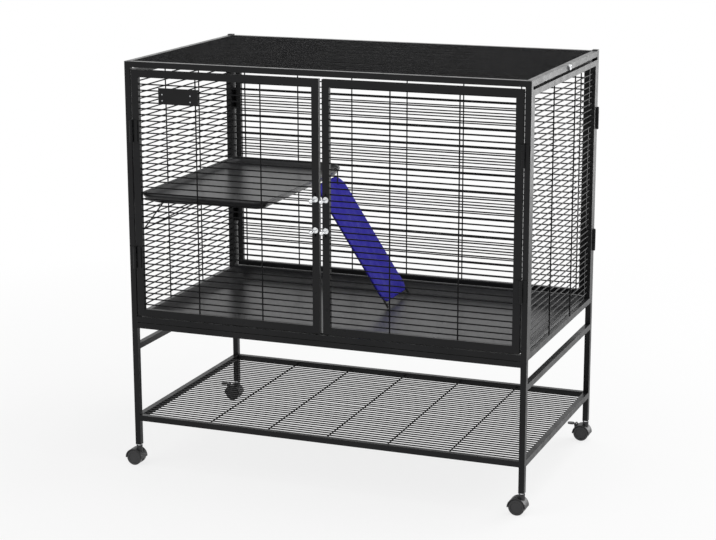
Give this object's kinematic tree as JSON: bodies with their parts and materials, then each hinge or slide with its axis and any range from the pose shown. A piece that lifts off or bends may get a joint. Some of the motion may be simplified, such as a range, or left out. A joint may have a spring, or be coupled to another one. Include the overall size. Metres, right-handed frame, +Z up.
{
  "type": "ferret cage",
  "caption": "Black welded-wire ferret cage on a wheeled stand, with hinged double doors on slide bolts, a raised tray platform, a covered ramp, a floor pan and a storage shelf.",
  "frame": {"origin": "on the floor under the middle of the whole object's bounding box, casters, brake levers and door knobs included; the cage's own middle planes are at x = 15.5 mm and y = 10.775 mm", "axes": "+Z up, +X to the right seen from the doors, -Y towards the front, where the doors are"},
  "size_m": [0.9563, 0.5768, 0.9205],
  "materials": {
    "black_steel": "satin black powder coat over steel tube and wire",
    "chrome": "bright plated steel",
    "zinc_steel": "dull plated steel",
    "tray_plastic": "dark grey moulded plastic, glossy",
    "black_plastic": "black moulded plastic",
    "wheel_plastic": "hard black plastic",
    "blue_fabric": "blue-violet woven cloth",
    "rubber": "soft black tips"
  },
  "bodies": {
    "cage": {"left_stand_frame": "black_steel", "right_stand_frame": "black_steel", "stand_front_rail": "black_steel", "stand_rear_rail": "black_steel", "shelf_front_rail": "black_steel", "shelf_rear_rail": "black_steel", "shelf_mesh": "black_steel", "leg_sleeves": "black_plastic", "caster_stems": "chrome", "left_side_frame": "black_steel", "right_side_frame": "black_steel", "left_side_mesh": "black_steel", "right_side_mesh": "black_steel", "front_base_rail": "black_steel", "rear_base_rail": "black_steel", "roof_rails": "black_steel", "roof_mesh": "black_steel", "roof_bolts": "chrome", "roof_nuts": "zinc_steel", "post_caps": "black_plastic", "back_frame": "black_steel", "back_mesh": "black_steel", "back_hinge_leaves": "black_steel", "rear_post_leaves": "black_steel", "rear_hinge_pins": "black_steel", "front_post_leaves": "black_steel", "front_hinge_pins": "black_steel", "pan": "tray_plastic", "platform": "tray_plastic", "platform_brackets": "chrome"},
    "left_door": {"left_door_frame": "black_steel", "left_door_mesh": "black_steel", "left_door_leaves": "black_steel", "name_plate": "black_steel", "plate_clips": "zinc_steel"},
    "right_door": {"right_door_frame": "black_steel", "right_door_mesh": "black_steel", "right_door_leaves": "black_steel"},
    "left_upper_bolt": {"left_upper_rod": "black_steel", "left_upper_knob": "chrome"},
    "left_lower_bolt": {"left_lower_rod": "black_steel", "left_lower_knob": "chrome"},
    "right_upper_bolt": {"right_upper_rod": "black_steel", "right_upper_knob": "chrome"},
    "right_lower_bolt": {"right_lower_rod": "black_steel", "right_lower_knob": "chrome"},
    "ramp": {"ramp_frame": "chrome", "ramp_cover": "blue_fabric", "ramp_feet": "rubber"},
    "caster_fl": {"caster_fl_hood": "black_plastic"},
    "wheels_fl": {"caster_fl_wheels": "wheel_plastic"},
    "caster_fr": {"caster_fr_hood": "black_plastic"},
    "wheels_fr": {"caster_fr_wheels": "wheel_plastic"},
    "caster_rl": {"caster_rl_hood": "black_plastic"},
    "wheels_rl": {"caster_rl_wheels": "wheel_plastic"},
    "brake_rl": {"caster_rl_brake": "wheel_plastic"},
    "caster_rr": {"caster_rr_hood": "black_plastic"},
    "wheels_rr": {"caster_rr_wheels": "wheel_plastic"},
    "brake_rr": {"caster_rr_brake": "wheel_plastic"}
  },
  "joints": [
    {"name": "left_door_hinge", "type": "hinge", "parent": "cage", "child": "left_door", "pos_m": [-0.42715, -0.26372, 0.6], "axis": [0, 0, -1], "range_deg": [0, 170]},
    {"name": "right_door_hinge", "type": "hinge", "parent": "cage", "child": "right_door", "pos_m": [0.45815, -0.26372, 0.6], "axis": [0, 0, 1], "range_deg": [0, 170]},
    {"name": "left_upper_bolt_slide", "type": "slide", "parent": "left_door", "child": "left_upper_bolt", "axis": [0, 0, 1], "range_m": [0, 0.012]},
    {"name": "left_lower_bolt_slide", "type": "slide", "parent": "left_door", "child": "left_lower_bolt", "axis": [0, 0, -1], "range_m": [0, 0.012]},
    {"name": "right_upper_bolt_slide", "type": "slide", "parent": "right_door", "child": "right_upper_bolt", "axis": [0, 0, 1], "range_m": [0, 0.012]},
    {"name": "right_lower_bolt_slide", "type": "slide", "parent": "right_door", "child": "right_lower_bolt", "axis": [0, 0, -1], "range_m": [0, 0.012]},
    {"name": "ramp_hinge", "type": "hinge", "parent": "cage", "child": "ramp", "pos_m": [-0.1261, 0.14377, 0.6224], "axis": [0, -1, 0], "range_deg": [0, 60]},
    {"name": "caster_fl_swivel", "type": "hinge", "parent": "cage", "child": "caster_fl", "pos_m": [-0.43515, -0.25288, 0.041], "axis": [0, 0, 1], "continuous": true},
    {"name": "caster_fl_wheels_spin", "type": "hinge", "parent": "caster_fl", "child": "wheels_fl", "pos_m": [-0.44365, -0.25288, 0.0175], "axis": [0, 1, 0], "continuous": true},
    {"name": "caster_fr_swivel", "type": "hinge", "parent": "cage", "child": "caster_fr", "pos_m": [0.46615, -0.25288, 0.041], "axis": [0, 0, 1], "continuous": true},
    {"name": "caster_fr_wheels_spin", "type": "hinge", "parent": "caster_fr", "child": "wheels_fr", "pos_m": [0.45765, -0.25288, 0.0175], "axis": [0, 1, 0], "continuous": true},
    {"name": "caster_rl_swivel", "type": "hinge", "parent": "cage", "child": "caster_rl", "pos_m": [-0.43515, 0.27442, 0.041], "axis": [0, 0, 1], "continuous": true},
    {"name": "caster_rl_wheels_spin", "type": "hinge", "parent": "caster_rl", "child": "wheels_rl", "pos_m": [-0.44365, 0.27442, 0.0175], "axis": [0, 1, 0], "continuous": true},
    {"name": "caster_rl_brake_pivot", "type": "hinge", "parent": "caster_rl", "child": "brake_rl", "pos_m": [-0.45815, 0.27442, 0.0365], "axis": [0, -1, 0], "range_deg": [0, 15]},
    {"name": "caster_rr_swivel", "type": "hinge", "parent": "cage", "child": "caster_rr", "pos_m": [0.46615, 0.27442, 0.041], "axis": [0, 0, 1], "continuous": true},
    {"name": "caster_rr_wheels_spin", "type": "hinge", "parent": "caster_rr", "child": "wheels_rr", "pos_m": [0.45765, 0.27442, 0.0175], "axis": [0, 1, 0], "continuous": true},
    {"name": "caster_rr_brake_pivot", "type": "hinge", "parent": "caster_rr", "child": "brake_rr", "pos_m": [0.44315, 0.27442, 0.0365], "axis": [0, -1, 0], "range_deg": [0, 15]}
  ]
}
